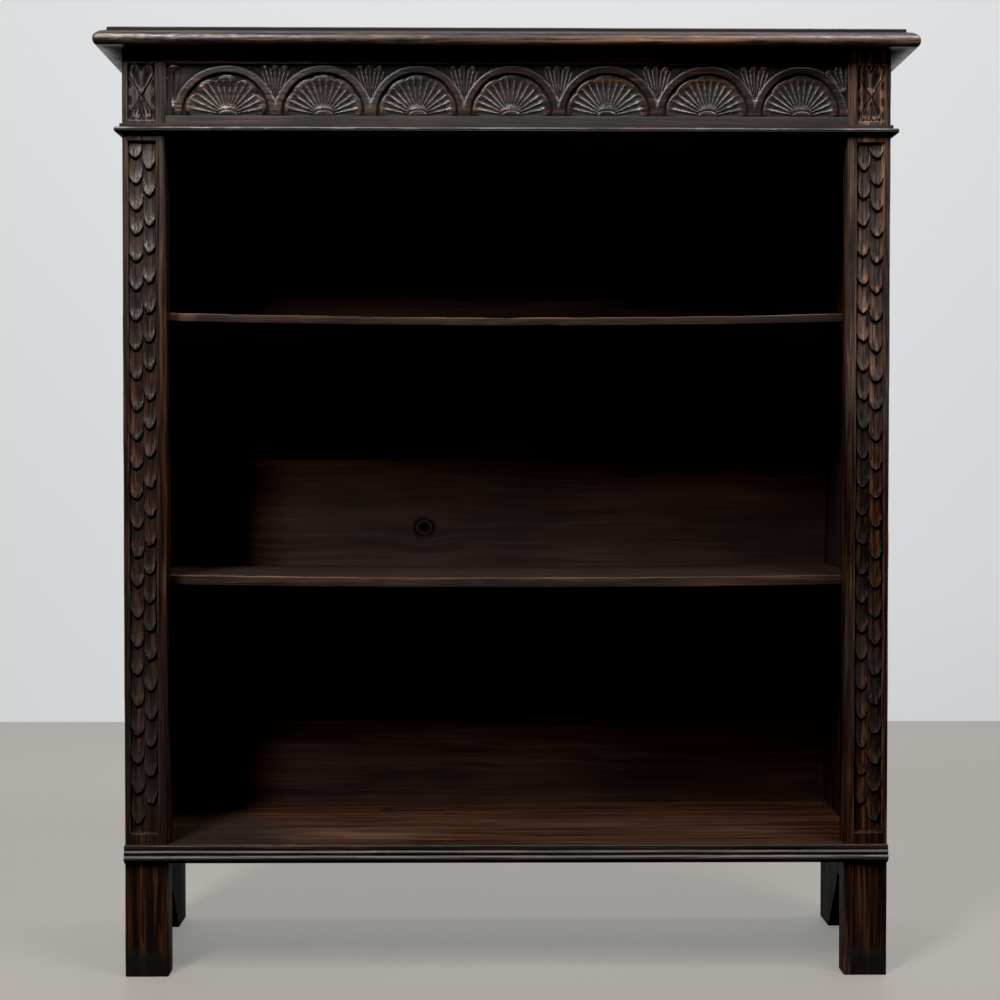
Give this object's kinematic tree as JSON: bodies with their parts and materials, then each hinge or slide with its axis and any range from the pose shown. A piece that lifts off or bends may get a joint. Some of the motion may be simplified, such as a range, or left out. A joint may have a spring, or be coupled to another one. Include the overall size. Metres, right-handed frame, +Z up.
{
  "type": "open bookcase",
  "caption": "Low open bookcase in dark oak with a carved frieze, scale-carved stiles, a moulded top, plank sides on bootjack feet and loose shelves on bearers.",
  "frame": {"origin": "on the floor, under the middle of the object's box", "axes": "+Z up, the open front faces -Y, +X to the right of someone facing the front"},
  "size_m": [0.904, 0.292, 1.05],
  "materials": {
    "dark_oak": "dark stained, waxed",
    "shelf_oak": "dark stained, worn",
    "back_pine": "stained, dull",
    "batten_pine": "stained, dull",
    "old_steel": "darkened"
  },
  "bodies": {
    "case": {"top_board": "dark_oak", "left_side": "dark_oak", "right_side": "dark_oak", "left_stile": "dark_oak", "right_stile": "dark_oak", "frieze_rail": "dark_oak", "frieze_moulding_front": "dark_oak", "frieze_moulding_left": "dark_oak", "frieze_moulding_right": "dark_oak", "plinth_moulding": "dark_oak", "bottom_shelf": "shelf_oak", "back_board_1": "back_pine", "back_board_2": "back_pine", "back_board_3": "back_pine", "back_board_4": "back_pine", "back_board_5": "back_pine", "back_board_6": "back_pine", "lower_left_bearer": "batten_pine", "lower_right_bearer": "batten_pine", "upper_left_bearer": "batten_pine", "upper_right_bearer": "batten_pine", "left_top_cleat": "batten_pine", "right_top_cleat": "batten_pine", "frieze_glue_blocks": "batten_pine", "shelf_glue_blocks": "batten_pine", "bearer_screws": "old_steel", "cleat_screws": "old_steel", "back_nails": "old_steel"},
    "lower_shelf": {"lower_shelf": "shelf_oak"},
    "upper_shelf": {"upper_shelf": "shelf_oak"}
  },
  "joints": [
    {"name": "lower_shelf_lift", "type": "slide", "parent": "case", "child": "lower_shelf", "axis": [0, 0, 1], "range_m": [0, 0.25]},
    {"name": "upper_shelf_lift", "type": "slide", "parent": "case", "child": "upper_shelf", "axis": [0, 0, 1], "range_m": [0, 0.25]}
  ]
}
